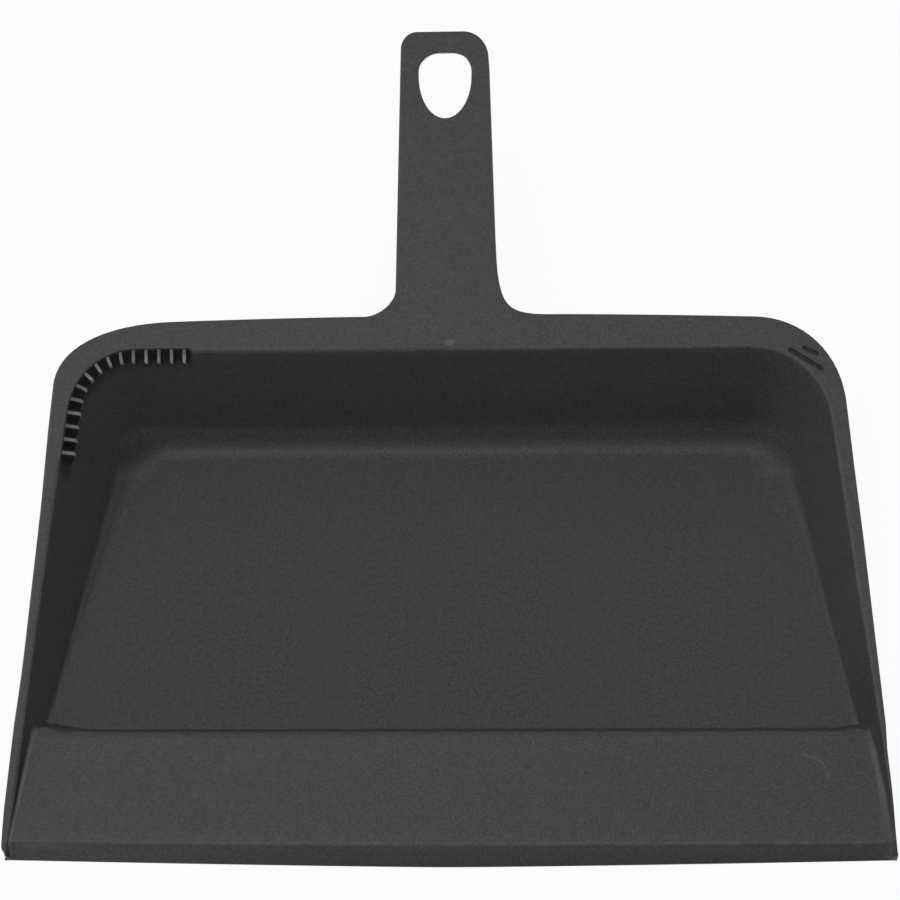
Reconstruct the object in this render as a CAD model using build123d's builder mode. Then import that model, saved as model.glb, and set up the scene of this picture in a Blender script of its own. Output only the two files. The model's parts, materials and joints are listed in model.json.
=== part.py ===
from build123d import *

import os
from math import cos, radians, tan

# Driving dimensions in millimetres and degrees.
# Depth is measured back from the middle of the front lip, the foremost point of the pan.
lip_width = 311.0
overall_length = 276.0
wall = 2.5
blank_height = 110.0

# Pan: a flat floor with leaning walls, open at the front
floor_thickness = 2.5
floor_half_width = 153.2
floor_taper = 11.45
floor_back = 160.6
floor_corner = 18.0
corner_growth = 0.16
side_lean = 11.0
back_lean = 7.4
foot_radius = 5.0
outer_foot_radius = 6.0
mouth_run = 30.0

# Entry: bevelled lip, ramp up to a crest, and a riser down to the floor
lip_bow = 1.8
lip_edge = 0.6
lip_foot = 4.0
lip_joint = 4.0
bevel_depth = 6.4
bevel_height = 6.9
crest_depth = 45.6
crest_height = 12.4
riser_foot = 49.6

# Rim: a sloping flange with a turned-down skirt
rim_front_height = 6.0
rim_slope = 18.4
rim_taper = 6.33
rim_back = 180.0
rim_corner_depth = 177.5
rim_corner = 30.5
rim_drop = 9.0
flange = 2.5
skirt = 2.2
nose_radius = 1.5

# Handle: the rim carried on behind the pan as an inverted channel
handle_root_width = 36.0
handle_tip_width = 30.1
handle_root_radius = 11.5
handle_tip_radius = 7.3
hole_near = 246.0
hole_widest = 260.5
hole_far = 269.0
hole_width = 19.2
hole_far_radius = 7.0
collar = 2.0
collar_drop = 7.0
rib_depths = (203.0, 219.0, 235.0)
rib = 2.0
rib_clearance = 1.5
gusset_half_gap = 11.0
gusset_foot_height = 25.0
gusset_reach = 198.0

# Comb: thin fins that stand off the wall along the left rear corner of the rim
comb_count = 15
comb_start = -92.0
comb_pitch = 4.5
comb_reach = 5.2
comb_tip = 2.5
comb_drop = 15.0
comb_corner = 17.0
comb_root = 6.0
comb_thickness = 1.2
comb_below_rim = 0.8

# Where the moulding is divided into its named pieces
corner_start = 138.0
back_half_width = 98.0
handle_start = 182.0


def plan(x, depth):
    """A point of a plan sketch."""
    return (x, depth - overall_length / 2)


def side(depth, height):
    """A point of a sketch seen from the right-hand side."""
    return (depth - overall_length / 2, height)


def up_slope(depth):
    """A depth as a length along the sloping plane of the rim."""
    return depth / cos(radians(rim_slope))


def cross_plane(depth):
    """An upright plane across the dustpan, facing the handle."""
    return Plane(origin=(0, depth - overall_length / 2, 0), z_dir=(0, 1, 0))


def rim_half_width(depth):
    return lip_width / 2 - (depth - lip_bow) * tan(radians(rim_taper))


def rim_height(depth):
    return rim_front_height + depth * tan(radians(rim_slope))


def handle_half_width(depth):
    share = (depth - rim_back) / (overall_length - rim_back)
    return (handle_root_width + share * (handle_tip_width - handle_root_width)) / 2


def wall_size(height, skin):
    """Half width at the lip, back depth and corner radius of the pan, at a height."""
    rise = height - floor_thickness
    spread = rise * tan(radians(side_lean)) + skin / cos(radians(side_lean))
    half_width = floor_half_width + spread / cos(radians(floor_taper))
    back = floor_back + rise * tan(radians(back_lean)) + skin / cos(radians(back_lean))
    return half_width, back, floor_corner + rise * corner_growth + skin


def rim_edge_half_width(depth):
    """Half width of the pan's opening, where the side walls meet the top of the rim."""
    return wall_size(rim_height(depth), 0)[0] - depth * tan(radians(floor_taper))


def rim_edge_back():
    """Depth at which the back wall meets the top of the rim."""
    lean = tan(radians(back_lean))
    reach = floor_back + (rim_front_height - floor_thickness) * lean
    return reach / (1 - tan(radians(rim_slope)) * lean)


def wall_section(height, skin):
    """The outline of the pan at a height, outside a wall of the thickness skin."""
    half_width, back, corner = wall_size(height, skin)
    front_half = half_width + mouth_run * tan(radians(floor_taper))
    back_half = half_width - back * tan(radians(floor_taper))
    with BuildSketch(Plane.XY.offset(height)) as section:
        with BuildLine():
            Polyline(
                plan(-front_half, -mouth_run),
                plan(front_half, -mouth_run),
                plan(back_half, back),
                plan(-back_half, back),
                close=True,
            )
        make_face()
        fillet(section.vertices().sort_by(Axis.Y)[2:], corner)
    return section.sketch


def hole_section(plane, skin):
    """The egg-shaped hang hole on a sloping plane, outside a collar of the thickness skin."""
    half_width = hole_width / 2 + skin
    near_reach = up_slope(hole_widest - hole_near) + skin
    far_end = up_slope(hole_far) + skin
    with BuildSketch(plane) as section:
        with BuildLine():
            near = EllipticalCenterArc((0, up_slope(hole_widest)), half_width, near_reach, 180, arc_size=180)
            Polyline(near @ 1, (half_width, far_end), (-half_width, far_end), near @ 0)
        make_face()
        fillet(section.vertices().sort_by(Axis.Y)[-2:], hole_far_radius + skin)
    return section.sketch


rim_plane = Plane(origin=(0, -overall_length / 2, rim_front_height)).rotated((rim_slope, 0, 0))
under_plane = rim_plane.offset(-flange)
skirt_plane = rim_plane.offset(-rim_drop)
rib_plane = rim_plane.offset(rib_clearance - rim_drop)
collar_plane = rim_plane.offset(-collar_drop)
comb_plane = rim_plane.offset(-comb_below_rim)
cheek_plane = cross_plane(riser_foot)
corner_plane = cross_plane(corner_start)
handle_plane = cross_plane(handle_start)
left_plane = Plane.YZ.offset(-back_half_width)
right_plane = Plane.YZ.offset(back_half_width)

# Plan of the rim and handle: tapering sides, a slightly bowed back and rounded corners
corner_half = rim_half_width(rim_corner_depth)
with BuildSketch() as rim_plan:
    with BuildLine():
        Polyline(
            plan(-corner_half, rim_corner_depth),
            plan(-lip_width / 2, lip_bow),
            plan(lip_width / 2, lip_bow),
            plan(corner_half, rim_corner_depth),
        )
        ThreePointArc(
            plan(corner_half, rim_corner_depth),
            plan(0, rim_back),
            plan(-corner_half, rim_corner_depth),
        )
    make_face()
    with BuildLine():
        Polyline(
            plan(-handle_half_width(corner_start), corner_start),
            plan(handle_half_width(corner_start), corner_start),
            plan(handle_tip_width / 2, overall_length),
            plan(-handle_tip_width / 2, overall_length),
            close=True,
        )
    make_face()
    fillet(rim_plan.vertices().sort_by(Axis.Y)[-2:], handle_tip_radius)
    fillet(rim_plan.vertices().sort_by(Axis.Y)[4:6], handle_root_radius)
    fillet(rim_plan.vertices().sort_by(Axis.Y)[2:4], rim_corner)
    fillet(rim_plan.vertices().sort_by(Axis.Y)[:2], nose_radius)

# Plan of the space inside the skirt
with BuildSketch() as inside_plan:
    add(rim_plan.sketch)
    offset(amount=-skirt, mode=Mode.REPLACE)

# Outer and inner faces of the walls, carried straight down to the ground
with BuildPart() as wall_hull:
    loft([wall_section(0, wall), wall_section(blank_height, wall)], ruled=True)
with BuildPart() as mouth_space:
    loft([wall_section(0, 0), wall_section(blank_height, 0)], ruled=True)

# The space inside the walls, with a rounded foot, down to the underside of the floor
with BuildPart() as pan_space:
    loft([wall_section(floor_thickness, 0), wall_section(blank_height, 0)], ruled=True)
    foot = pan_space.faces().sort_by(Axis.Z)[0]
    fillet(foot.edges().sort_by(Axis.Y)[1:], foot_radius)
    foot = pan_space.faces().sort_by(Axis.Z)[0]
    extrude(foot, amount=floor_thickness, dir=(0, 0, -1))

# The outer face of the walls with its own rounded foot
with BuildPart() as pan_hull:
    add(wall_hull.part)
    foot = pan_hull.faces().sort_by(Axis.Z)[0]
    fillet(foot.edges().sort_by(Axis.Y)[1:], outer_foot_radius)

# The walls up to the underside of the flange
with BuildPart() as wall_blank:
    add(pan_hull.part)
    split(bisect_by=under_plane, keep=Keep.BOTTOM)
    extrude(rim_plan.sketch, amount=blank_height, mode=Mode.INTERSECT)
    add(pan_space.part, mode=Mode.SUBTRACT)

# The flange and the handle's top, in one sloping plane
with BuildPart() as plate_blank:
    extrude(rim_plan.sketch, amount=blank_height)
    split(bisect_by=rim_plane, keep=Keep.BOTTOM)
    split(bisect_by=under_plane, keep=Keep.TOP)
    add(pan_space.part, mode=Mode.SUBTRACT)
    extrude(hole_section(skirt_plane, 0), amount=blank_height, mode=Mode.SUBTRACT)

# The turned-down edge all the way round
with BuildPart() as skirt_blank:
    extrude(rim_plan.sketch, amount=blank_height)
    extrude(inside_plan.sketch, amount=blank_height, mode=Mode.SUBTRACT)
    split(bisect_by=under_plane, keep=Keep.BOTTOM)
    split(bisect_by=skirt_plane, keep=Keep.TOP)
    add(pan_space.part, mode=Mode.SUBTRACT)

# Floor, from the riser to the rounded foot of the walls
with BuildPart() as floor_panel:
    extrude(pan_space.faces().sort_by(Axis.Z)[0], amount=floor_thickness, dir=(0, 0, 1))
    split(bisect_by=cheek_plane, keep=Keep.TOP)
    split(bisect_by=Plane.YZ, keep=Keep.BOTTOM)
    mirror(about=Plane.YZ)

# Section of the ramp and riser: the points where the plates of the entry meet
bevel = Vector(*side(bevel_depth, bevel_height))
crest = Vector(*side(crest_depth, crest_height))
heel = Vector(*side(riser_foot, floor_thickness))
up_ramp = (crest - bevel).normalized()
down_riser = (heel - crest).normalized()
turn = up_ramp.cross(down_riser).length
crest_under = crest + (down_riser - up_ramp) * (wall / turn)
lip_top = bevel + up_ramp * lip_joint
lip_under = lip_top + Vector(up_ramp.Y, -up_ramp.X) * wall
heel_front = crest_under + down_riser * (crest_under.Y / -down_riser.Y)


def lip_section(x, front):
    """The wedge-shaped section of the lip at x, with its foremost point at the depth front."""
    with BuildSketch(Plane.YZ.offset(x)) as section:
        with BuildLine():
            Polyline(
                side(front, 0),
                side(front, lip_edge),
                bevel,
                lip_top,
                lip_under,
                side(front + lip_foot, 0),
                close=True,
            )
        make_face()
    return section.sketch


# Lip: a wedge whose front edge is bowed forward in the middle
lip_half = lip_width / 2
with BuildPart() as front_lip:
    loft([lip_section(-lip_half, lip_bow), lip_section(0, 0), lip_section(lip_half, lip_bow)])
    add(mouth_space.part, mode=Mode.INTERSECT)

# Ramp plate from the lip up to the crest
with BuildPart() as entry_ramp:
    with BuildSketch(Plane.YZ):
        with BuildLine():
            Polyline(lip_top, crest, crest_under, lip_under, close=True)
        make_face()
    extrude(amount=lip_half, both=True)
    add(mouth_space.part, mode=Mode.INTERSECT)

# Riser from the crest down to the floor
with BuildPart() as ramp_riser:
    with BuildSketch(Plane.YZ):
        with BuildLine():
            Polyline(crest, heel, side(riser_foot, 0), heel_front, crest_under, close=True)
        make_face()
    extrude(amount=lip_half, both=True)
    add(mouth_space.part, mode=Mode.INTERSECT)

# Left side plate beside the ramp, down to the ground, with its part of the rim
with BuildPart() as left_cheek:
    add(wall_hull.part)
    extrude(rim_plan.sketch, amount=blank_height, mode=Mode.INTERSECT)
    split(bisect_by=rim_plane, keep=Keep.BOTTOM)
    add(skirt_blank.part)
    add(plate_blank.part)
    add(mouth_space.part, mode=Mode.SUBTRACT)
    split(bisect_by=cheek_plane, keep=Keep.BOTTOM)
    split(bisect_by=Plane.YZ, keep=Keep.BOTTOM)

# Left wall behind it
with BuildPart() as left_wall:
    add(wall_blank.part)
    add(skirt_blank.part, mode=Mode.SUBTRACT)
    split(bisect_by=cheek_plane, keep=Keep.TOP)
    split(bisect_by=corner_plane, keep=Keep.BOTTOM)
    split(bisect_by=Plane.YZ, keep=Keep.BOTTOM)

# Rounded wall at the left rear corner
with BuildPart() as left_rear_corner:
    add(wall_blank.part)
    split(bisect_by=corner_plane, keep=Keep.TOP)
    split(bisect_by=left_plane, keep=Keep.BOTTOM)

# Back wall between the corners
with BuildPart() as back_wall:
    add(wall_blank.part)
    split(bisect_by=corner_plane, keep=Keep.TOP)
    split(bisect_by=left_plane, keep=Keep.TOP)
    split(bisect_by=right_plane, keep=Keep.BOTTOM)

# Rim along the left wall
with BuildPart() as left_rim:
    add(plate_blank.part)
    add(skirt_blank.part)
    split(bisect_by=cheek_plane, keep=Keep.TOP)
    split(bisect_by=corner_plane, keep=Keep.BOTTOM)
    split(bisect_by=Plane.YZ, keep=Keep.BOTTOM)

# Rim round the left rear corner
with BuildPart() as left_corner_rim:
    add(plate_blank.part)
    add(skirt_blank.part)
    split(bisect_by=corner_plane, keep=Keep.TOP)
    split(bisect_by=left_plane, keep=Keep.BOTTOM)

# Rim along the back wall, where the handle starts
with BuildPart() as back_rim:
    add(plate_blank.part)
    add(skirt_blank.part)
    split(bisect_by=corner_plane, keep=Keep.TOP)
    split(bisect_by=handle_plane, keep=Keep.BOTTOM)
    split(bisect_by=left_plane, keep=Keep.TOP)
    split(bisect_by=right_plane, keep=Keep.BOTTOM)

# Handle: flat top and skirt, open underneath
with BuildPart() as handle:
    add(plate_blank.part)
    add(skirt_blank.part)
    split(bisect_by=handle_plane, keep=Keep.TOP)

# Collar that carries the hang hole down below the handle's top
with BuildPart() as hang_collar:
    extrude(hole_section(collar_plane, collar), amount=collar_drop - flange)
    extrude(hole_section(skirt_plane, 0), amount=blank_height, mode=Mode.SUBTRACT)

# Cross ribs between the handle's two skirts
with BuildPart() as handle_ribs:
    with BuildSketch():
        with Locations(*[plan(0, depth) for depth in rib_depths]):
            Rectangle(handle_root_width * 2, rib)
        add(inside_plan.sketch, mode=Mode.INTERSECT)
    extrude(amount=blank_height)
    split(bisect_by=under_plane, keep=Keep.BOTTOM)
    split(bisect_by=rib_plane, keep=Keep.TOP)

# Pair of upright webs that tie the root of the handle to the back wall
with BuildPart() as handle_gussets:
    for x in (-gusset_half_gap, gusset_half_gap):
        with BuildSketch(Plane.YZ.offset(x)):
            with BuildLine():
                Polyline(
                    side(floor_back, gusset_foot_height),
                    side(gusset_reach, rim_height(gusset_reach)),
                    side(floor_back, rim_height(floor_back)),
                    close=True,
                )
            make_face()
    extrude(amount=rib / 2, both=True)
    split(bisect_by=under_plane, keep=Keep.BOTTOM)
    add(pan_hull.part, mode=Mode.SUBTRACT)

# Fins of the comb, spaced along a line inside the rim's edge
edge_back = rim_edge_back()
comb_middle = comb_reach / 2
with BuildLine() as comb_line:
    FilletPolyline(
        plan(comb_start, edge_back - comb_middle),
        plan(comb_middle - rim_edge_half_width(edge_back), edge_back - comb_middle),
        plan(comb_middle - rim_edge_half_width(riser_foot), riser_foot),
        radius=comb_corner,
    )
with BuildPart() as broom_comb:
    for index in range(comb_count):
        length = index * comb_pitch
        point = comb_line.wire().position_at(length, position_mode=PositionMode.LENGTH)
        along = comb_line.wire().tangent_at(length, position_mode=PositionMode.LENGTH)
        top = rim_height(point.Y + overall_length / 2)
        fin_plane = Plane((point.X, point.Y, top), x_dir=(-along.Y, along.X, 0), z_dir=along)
        with BuildSketch(fin_plane):
            with BuildLine():
                Polyline(
                    (-comb_root, comb_tip),
                    (comb_middle, comb_tip),
                    (comb_middle, -comb_tip),
                    (-comb_middle, -comb_drop),
                    (-comb_root, -comb_drop),
                    close=True,
                )
            make_face()
        extrude(amount=comb_thickness / 2, both=True)
    split(bisect_by=comb_plane, keep=Keep.BOTTOM)
    add(pan_space.part, mode=Mode.INTERSECT)

# Right-hand pieces are the left-hand ones mirrored
with BuildPart() as right_cheek:
    mirror(left_cheek.part, about=Plane.YZ)
with BuildPart() as right_wall:
    mirror(left_wall.part, about=Plane.YZ)
with BuildPart() as right_rear_corner:
    mirror(left_rear_corner.part, about=Plane.YZ)
with BuildPart() as right_rim:
    mirror(left_rim.part, about=Plane.YZ)
with BuildPart() as right_corner_rim:
    mirror(left_corner_rim.part, about=Plane.YZ)

pieces = {
    "floor_panel": floor_panel,
    "front_lip": front_lip,
    "entry_ramp": entry_ramp,
    "ramp_riser": ramp_riser,
    "left_cheek": left_cheek,
    "right_cheek": right_cheek,
    "left_wall": left_wall,
    "right_wall": right_wall,
    "left_rear_corner": left_rear_corner,
    "right_rear_corner": right_rear_corner,
    "back_wall": back_wall,
    "left_rim": left_rim,
    "right_rim": right_rim,
    "left_corner_rim": left_corner_rim,
    "right_corner_rim": right_corner_rim,
    "back_rim": back_rim,
    "handle": handle,
    "hang_collar": hang_collar,
    "handle_ribs": handle_ribs,
    "handle_gussets": handle_gussets,
    "broom_comb": broom_comb,
}
os.makedirs("parts", exist_ok=True)
for name, piece in pieces.items():
    piece.part.label = name
    export_step(piece.part, f"parts/{name}.step")
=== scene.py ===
import json
from math import cos, pi, radians, sin, sqrt, tan

import bmesh
import bpy
from mathutils import Matrix, Vector
from mathutils.geometry import delaunay_2d_cdt

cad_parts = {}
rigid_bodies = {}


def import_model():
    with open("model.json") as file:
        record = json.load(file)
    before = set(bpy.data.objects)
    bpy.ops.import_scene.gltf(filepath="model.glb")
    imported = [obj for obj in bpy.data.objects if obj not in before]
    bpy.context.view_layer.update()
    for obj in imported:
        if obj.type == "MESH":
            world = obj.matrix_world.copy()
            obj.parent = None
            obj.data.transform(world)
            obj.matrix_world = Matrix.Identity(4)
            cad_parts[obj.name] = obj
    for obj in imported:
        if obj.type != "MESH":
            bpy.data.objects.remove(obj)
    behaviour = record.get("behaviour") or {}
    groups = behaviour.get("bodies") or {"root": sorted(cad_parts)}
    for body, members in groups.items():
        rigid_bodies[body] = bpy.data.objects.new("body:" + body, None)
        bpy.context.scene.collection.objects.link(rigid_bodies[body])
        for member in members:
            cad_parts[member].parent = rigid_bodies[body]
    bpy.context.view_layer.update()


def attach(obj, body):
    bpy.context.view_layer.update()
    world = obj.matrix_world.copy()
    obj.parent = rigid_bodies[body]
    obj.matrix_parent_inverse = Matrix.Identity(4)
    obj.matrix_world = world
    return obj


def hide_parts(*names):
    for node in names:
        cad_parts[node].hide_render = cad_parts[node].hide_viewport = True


for left in list(bpy.data.objects):
    bpy.data.objects.remove(left)
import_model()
print("frame loaded")

mm = 0.001

# sizes are in millimetres and degrees, depth runs back from the lip
pan = {
    "length": 276.0,
    "lipWidth": 311.0,
    "lipBow": 1.8,
    "lipCentre": 2.5,
    "lipCurve": 1.3,
    "bevelCentre": 0.6,
    "lipEdge": 0.6,
    "lipFoot": 4.0,
    "wall": 2.5,
    "floor": 2.5,
    "floorHalf": 153.2,
    "floorTaper": 11.45,
    "floorBack": 160.6,
    "floorCorner": 18.0,
    "cornerGrowth": {-1: 0.16, 1: 0.205},
    "sideLean": 11.0,
    "backLean": 7.4,
    "bevel": (6.4, 6.9),
    "crest": (44.3, 12.4),
    "heel": (48.7, 2.5),
    "bevelRound": 1.4,
    "crestRound": 2.4,
    "heelRound": 1.1,
    # steps of the roundings at the bevel, the crest and the heel
    "mouthSteps": (4, 6, 5),
    # the step curls back towards the walls: how far, from which depth, and over which width
    "curl": 2.3,
    "curlFrom": 34.0,
    "curlWidth": {-1: 18.0, 1: 7.0},
    "curlShare": {-1: 1.0, 1: 0.45},
    "curlFade": 30.0,
    # rounding where the walls meet the ramp and the floor: radius by depth, left and right
    "foot": {
        -1: ((0, 0.8), (42, 1.6), (48, 2.6), (53, 2.2), (61, 1.4), (68, 1.9), (91, 4.2), (114, 6.6),
             (128, 8.2), (137, 9.2), (160, 9.8)),
        1: ((0, 1.2), (8, 2.5), (14, 4.0), (20, 3.0), (30, 2.2), (48, 3.0), (54, 3.2), (62, 3.0),
            (68, 3.5), (91, 5.5), (106, 6.5), (120, 8.2), (128, 10.0), (136, 12.2), (142, 13.5),
            (160, 13.5)),
    },
    "footMost": 0.6,
    # the right wall starts a little farther out beside the ramp
    "footOut": {
        -1: ((0, 0.0), (50, 0.0)),
        1: ((0, 0.0), (16, 0.0), (24, 0.7), (34, 0.7), (41, 0.3), (47, 0.0)),
    },
    # it is broader in the rear corners, and at the back a steep chamfer with soft edges
    "footCorner": {-1: 0.45, 1: 0.35},
    "chamferTall": 9.0,
    "chamferRun": 3.2,
    "chamferSoftTop": 2.0,
    "chamferSoftLow": 4.0,
    "chamferMiddle": 0.55,
    # painted shade kept in it beside the floor, left, right and back, and a painted highlight along the
    # ends of the ramp
    "footPaintedShade": {-1: 0.62, 1: 0.4},
    "footPaintedShadePeak": {-1: 1.25, 1: 1.15},
    "footPaintedShadeBack": 0.28,
    "footPaintedShadePeakBack": 1.2,
    "footPaintedShadeRowsBack": 6,
    "footPaintedShadeFall": 1.3,
    "footPaintedShadeCorner": {-1: 0.2, 1: 0.0},
    "rampEnd": {
        -1: ((0, 0.0), (8, 4.2), (42, 4.2), (47, 0.0)),
        1: ((0, 0.0), (14, 0.2), (24, 2.2), (38, 2.2), (43, 0.0)),
    },
    # painted shade in the corner behind the step: how much, and over which run
    "stepPaintedShade": {-1: (0.2, 6.0), 1: (0.5, 9.0)},
    # painted highlight along the bevel's edge, the crest and the left end of the lip, and how fast it sets
    # in
    "bevelWear": 1.8,
    "bevelBand": 0.4,
    "bevelWearRise": 8,
    "crestHighlight": 5.0,
    "lipHighlight": 3.0,
    "lipHighlightFall": 9,
    "lipHighlightPower": 3,
    # painted shade rising over the right half of the ramp
    "rampPaintedShade": 0.08,
    # painted shade on the low front ends of walls and rim: how much, up to which depth, fading over which
    # run
    "cheekPaintedShade": {-1: (1.0, 52.0, 34.0), 1: (0.3, 90.0, 60.0)},
    "rimPaintedShade": {-1: (0.22, 48.0, 16.0), 1: (0.4, 28.0, 12.0)},
    # the wall has less of it at the very front: share, up to which depth, rising over which run
    "cheekFront": (0.45, 6, 10),
    # painted shade on the lip's bevel, heavier low down, and how it rises from the left end
    "lipPaintedShade": (0.4, 0.12),
    "lipPaintedShadeRise": (3, 0.25),
    # rounding under the foot of the walls, and rows of the outside as shares of its height
    "underFront": 0.5,
    "underBack": 8.5,
    "underMost": 0.45,
    "underSteps": 5,
    "outerRows": (0.9, 0.1),
    "lastSide": 142.0,
    "sideStep": 8.0,
    "sideLeast": 0.06,
    "noseSteps": 6,
    "acrossSteps": 28,
    "acrossEnds": (0.8, 1.8, 3.0, 4.4, 6.0, 8.0),
    "cornerSteps": 16,
    "backSteps": 10,
    "guard": 1.0,
    # where the comb ends: depth on the left wall, and the two shares of the back that it ends between
    "combFront": 134.0,
    "combShares": (0.165, 0.178),
    # rows of the plain wall as shares of its height, and painted shade in the comb's pockets on the upper
    # three
    "wallRows": (0.1, 0.5, 0.76, 0.86, 0.93),
    "pocketPaintedShadeSide": (0.0, 0.75, 1.0),
    "pocketPaintedShadeBack": (0.0, 0.35, 0.95),
}
rim = {
    "front": 6.0,
    "slope": 18.4,
    "taper": 6.33,
    "back": {-1: 180.0, 1: 180.4},
    "backSag": {-1: 2.5, 1: 2.6},
    # rear corners: depth where the side ends, half width where the back begins, and how tight between
    "cornerSide": {-1: 157.7, 1: 149.9},
    "cornerBack": {-1: 96.0, 1: 108.1},
    "cornerWeight": {-1: 0.88, 1: 0.8},
    # outer edge beside its straight line, by depth
    "outer": {
        -1: ((2, -0.3), (8, 0.1), (15, 0.5), (45, 0.35), (54, 0.0), (65, -0.3), (118, -0.3),
             (130, 0.0), (145, 0.3)),
        1: ((2, -0.7), (13, -0.4), (20, 0.0), (38, 0.0), (44, 0.55), (105, 0.6), (125, 0.4), (165, 0.3)),
    },
    "drop": 9.0,
    "flange": 2.5,
    "skirt": 2.2,
    "skirtGuard": 0.25,
    # roundings stay below a share of the width that is free for them
    "room": 10.0,
    "roundMost": 0.3,
    "guardMost": 0.12,
    "edgeRound": 1.0,
    "innerRound": {-1: 1.4, 1: 1.0},
    "combRound": 0.6,
    # the comb cuts into the flange, on the left side and at the back
    "combCut": (-0.5, 0.9),
    "bottomRound": 0.4,
    "guard": 0.15,
    "nose": {-1: 4.0, 1: 0.5},
    "noseLeast": 0.25,
    # the flange is a little wider on the left than the plain walls leave it, and narrower on the right
    "extra": {
        -1: ((2, 0.0), (10, 0.45), (20, 0.7), (45, 0.25), (70, 0.0)),
        1: ((2, -1.0), (20, -1.55), (40, -1.7), (52, -1.45), (72, -1.0), (90, -0.5), (115, -0.4),
            (142, 0.0)),
    },
}
grip = {
    "rootWidth": {-1: 35.5, 1: 36.6},
    "tipWidth": {-1: 31.2, 1: 30.1},
    # root: length of the rounding along the rim and along the handle, and how tight between
    "rootRound": {-1: (11.0, 9.0, 0.6), 1: (17.0, 30.0, 2.1)},
    "rootSteps": 14,
    "tipRound": {-1: 5.8, 1: 9.0},
    "tipSteps": 10,
    "holeNear": 246.3,
    "holeWidest": 260.5,
    "holeFar": 268.7,
    "holeWidth": 18.6,
    "holeFarRound": 7.0,
    "holeFarSteps": 9,
    "holeRound": 0.5,
    "holeDraft": 0.9,
    "holeSteps": 24,
    "collar": 2.0,
    "collarDrop": 7.0,
    "sideSteps": 10,
}
# marks on the flange: two sunk lines in the right rear corner, darkened by the painted shade of hollows,
# and a raised patch in the middle, painted paler as a highlight
marks = (
    {"start": (120.3, 167.2), "end": (130.7, 161.1), "width": 1.8, "depth": 0.9},
    {"start": (125.0, 167.9), "end": (129.3, 166.0), "width": 1.6, "depth": 0.8},
    {"start": (0.6, 170.8), "end": (2.4, 170.8), "width": 1.8, "depth": -0.08, "wearAndHighlight": 4.6},
)
# rings round a mark as shares of its half width, their steps, and the share over which it deepens
markShares = (1.12, 1.0, 0.82, 0.64)
markSteps = 10
markRound = 8
markSoft = 0.35
# meshes: points joined within, shortest edge, fills' tolerance, turn of a rubbed edge given a painted
# highlight and of a hollow given painted shade
skin = {"join": 2e-6, "shortest": 1e-6, "fill": 1e-5, "turn": 0.4, "hollow": 0.3, "sharp": 38}
# how finely roundings are divided
footSteps = 9
chamferSteps = 5
edgeSteps = 4
bottomSteps = 2

slope = tan(radians(rim["slope"]))
slopeCos = cos(radians(rim["slope"]))
slopeSin = sin(radians(rim["slope"]))
taper = radians(pan["floorTaper"])
up = Vector((0, 0, 1))


def blend(a, b, t):
    return a + (b - a) * t


def ease(t):
    t = min(max(t, 0.0), 1.0)
    return t * t * (3 - 2 * t)


def readLine(line, x):
    for (x0, y0), (x1, y1) in zip(line, line[1:]):
        if x <= x1:
            return blend(y0, y1, max(x - x0, 0) / (x1 - x0))
    return line[-1][1]


def bend(start, corner, end, steps):
    made = []
    for i in range(steps + 1):
        t = i / steps
        made.append(start.lerp(corner, t).lerp(corner.lerp(end, t), t))
    return made


# part of a conic between two tangents, sharper with more weight on their crossing
def conic(start, corner, end, weight, steps):
    made = []
    for i in range(steps + 1):
        t = i / steps
        pull = 2 * weight * t * (1 - t)
        made.append((start * (1 - t) ** 2 + corner * pull + end * t * t) / ((1 - t) ** 2 + pull + t * t))
    return made


def arcCorner(before, corner, after, radius, steps):
    toBefore = (before - corner).normalized()
    toAfter = (after - corner).normalized()
    half = toBefore.angle(toAfter) / 2
    centre = corner + (toBefore + toAfter).normalized() * (radius / sin(half))
    first = corner + toBefore * (radius / tan(half)) - centre
    last = corner + toAfter * (radius / tan(half)) - centre
    return [centre + first.lerp(last, i / steps).normalized() * radius for i in range(steps + 1)]


def flip(points):
    return [Vector((-p.x, *p[1:])) for p in points]


def place(p):
    return Vector((p.x * mm, (p.y - pan["length"] / 2) * mm, p.z * mm))


def addGrid(bm, rows):
    made = [[bm.verts.new(place(p)) for p in row] for row in rows]
    for low, high in zip(made, made[1:]):
        for i in range(len(low) - 1):
            bm.faces.new((low[i], low[i + 1], high[i + 1], high[i]))
    return made


def addRing(bm, points):
    bm.faces.new([bm.verts.new(place(p)) for p in points])


def inLoop(p, loop):
    odd = False
    for a, b in zip(loop, loop[1:] + loop[:1]):
        if (a.y > p.y) != (b.y > p.y) and p.x < a.x + (b.x - a.x) * (p.y - a.y) / (b.y - a.y):
            odd = not odd
    return odd


def fillPlane(bm, loops, lift, lines=()):
    spots = []
    edges = []
    for ring in [*loops, *lines]:
        first = len(spots)
        spots += [Vector((p.x, p.y)) for p in ring]
        edges += [(i, i + 1) for i in range(first, len(spots) - 1)]
        edges.append((len(spots) - 1, first))
    flat, _, faces, *_ = delaunay_2d_cdt(spots, edges, [], 1, skin["fill"])
    made = [bm.verts.new(place(Vector((p.x, p.y, lift(p))))) for p in flat]
    for face in faces:
        centre = sum((flat[i] for i in face), Vector((0, 0))) / len(face)
        if sum(inLoop(centre, loop) for loop in loops) % 2:
            bm.faces.new([made[i] for i in face])
    return list(zip(made, flat))


def addObject(name, data):
    made = bpy.data.objects.new(name, data)
    bpy.context.scene.collection.objects.link(made)
    return made


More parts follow.
